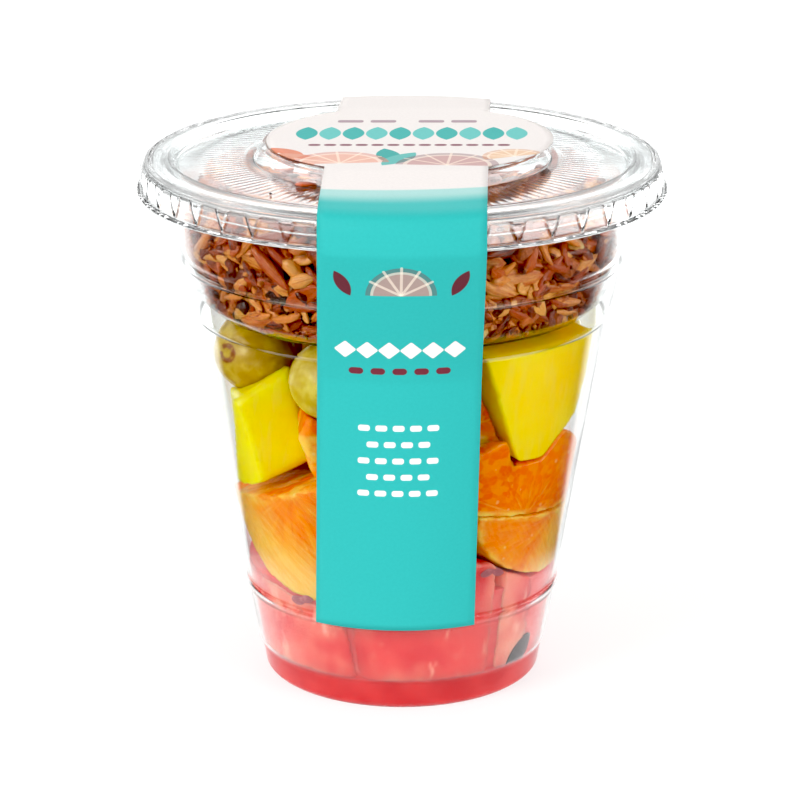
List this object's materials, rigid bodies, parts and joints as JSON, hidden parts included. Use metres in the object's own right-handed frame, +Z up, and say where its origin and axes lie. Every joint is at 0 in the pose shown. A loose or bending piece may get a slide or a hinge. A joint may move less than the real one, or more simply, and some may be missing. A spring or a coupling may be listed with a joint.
{
  "type": "fruit cup",
  "caption": "Lidded clear cup of cut fruit in layers, with a tray of granola hung under its lid and a paper strap over the top.",
  "frame": {"origin": "middle of the cup's foot, on the surface that it stands on", "axes": "+Z up through the cup's axis; the front of the paper strap faces -Y, and +X is to the right of it"},
  "size_m": [0.102, 0.1032, 0.1072],
  "materials": {
    "clear_plastic": "clear thermoformed PET, very smooth",
    "printed_paper": "coated paper, printed, half gloss",
    "toasted_granola": "toasted oats and nuts with a thin honey glaze",
    "green_grape": "whole green grape, waxy skin",
    "ripe_mango": "cut mango flesh, wet",
    "orange_flesh": "cut orange flesh with pale membranes, wet",
    "watermelon_flesh": "cut watermelon flesh, wet"
  },
  "bodies": {
    "root": {"cup": "clear_plastic", "tray": "clear_plastic", "lid": "clear_plastic", "strap": "printed_paper", "granola": "toasted_granola", "grape_1": "green_grape", "grape_2": "green_grape", "grape_3": "green_grape", "grape_4": "green_grape", "grape_5": "green_grape", "grape_6": "green_grape", "mango_1": "ripe_mango", "mango_2": "ripe_mango", "mango_3": "ripe_mango", "mango_4": "ripe_mango", "mango_5": "ripe_mango", "orange_1": "orange_flesh", "orange_2": "orange_flesh", "orange_3": "orange_flesh", "orange_4": "orange_flesh", "orange_5": "orange_flesh", "orange_6": "orange_flesh", "orange_7": "orange_flesh", "watermelon_1": "watermelon_flesh", "watermelon_2": "watermelon_flesh", "watermelon_3": "watermelon_flesh", "watermelon_4": "watermelon_flesh", "watermelon_5": "watermelon_flesh", "watermelon_6": "watermelon_flesh"}
  },
  "joints": []
}
